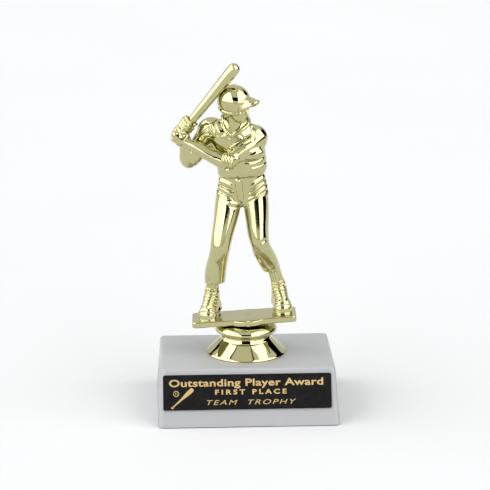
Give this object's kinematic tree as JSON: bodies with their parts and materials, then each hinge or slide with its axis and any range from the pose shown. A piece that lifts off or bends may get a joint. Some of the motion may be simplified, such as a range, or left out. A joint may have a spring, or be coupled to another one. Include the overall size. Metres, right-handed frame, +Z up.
{
  "type": "figure trophy",
  "caption": "Award trophy: a gold batter figure on a flared riser, clamped by a threaded rod to a white weighted base with a black nameplate.",
  "frame": {"origin": "centre of the base's underside, on the surface the trophy stands on", "axes": "+Z up, -Y towards the nameplate side, +X to the viewer's right as seen from the front"},
  "size_m": [0.0822, 0.0704, 0.1618],
  "materials": {
    "white_plastic": "moulded white plastic, fine satin gloss",
    "cast_weight": "rough as cast",
    "felt": "short-pile green felt",
    "plate_black": "black-coated satin sheet with gold print",
    "foam_tape": "double-sided adhesive tape",
    "gold_plastic": "vacuum-metallised pale gold, mirror bright",
    "zinc_steel": "bright zinc plated"
  },
  "bodies": {
    "base": {"base_shell": "white_plastic", "base_weight": "cast_weight", "felt_pad": "felt", "nameplate": "plate_black", "nameplate_tape": "foam_tape"},
    "riser": {"riser": "gold_plastic"},
    "figure": {"figure_plinth": "gold_plastic", "plinth_insert": "zinc_steel", "threaded_rod": "zinc_steel", "flat_washer": "zinc_steel", "lock_washer": "zinc_steel", "hex_nut": "zinc_steel", "bat": "gold_plastic", "figure_front": "gold_plastic", "figure_back": "gold_plastic"}
  },
  "joints": [
    {"name": "riser_turn", "type": "hinge", "parent": "base", "child": "riser", "pos_m": [0, 0, 0.0249], "axis": [0, 0, 1], "continuous": true},
    {"name": "figure_turn", "type": "hinge", "parent": "base", "child": "figure", "pos_m": [0.00103, -0.00004, 0.03983], "axis": [-0.0628, 0.0019, 0.998], "continuous": true}
  ]
}
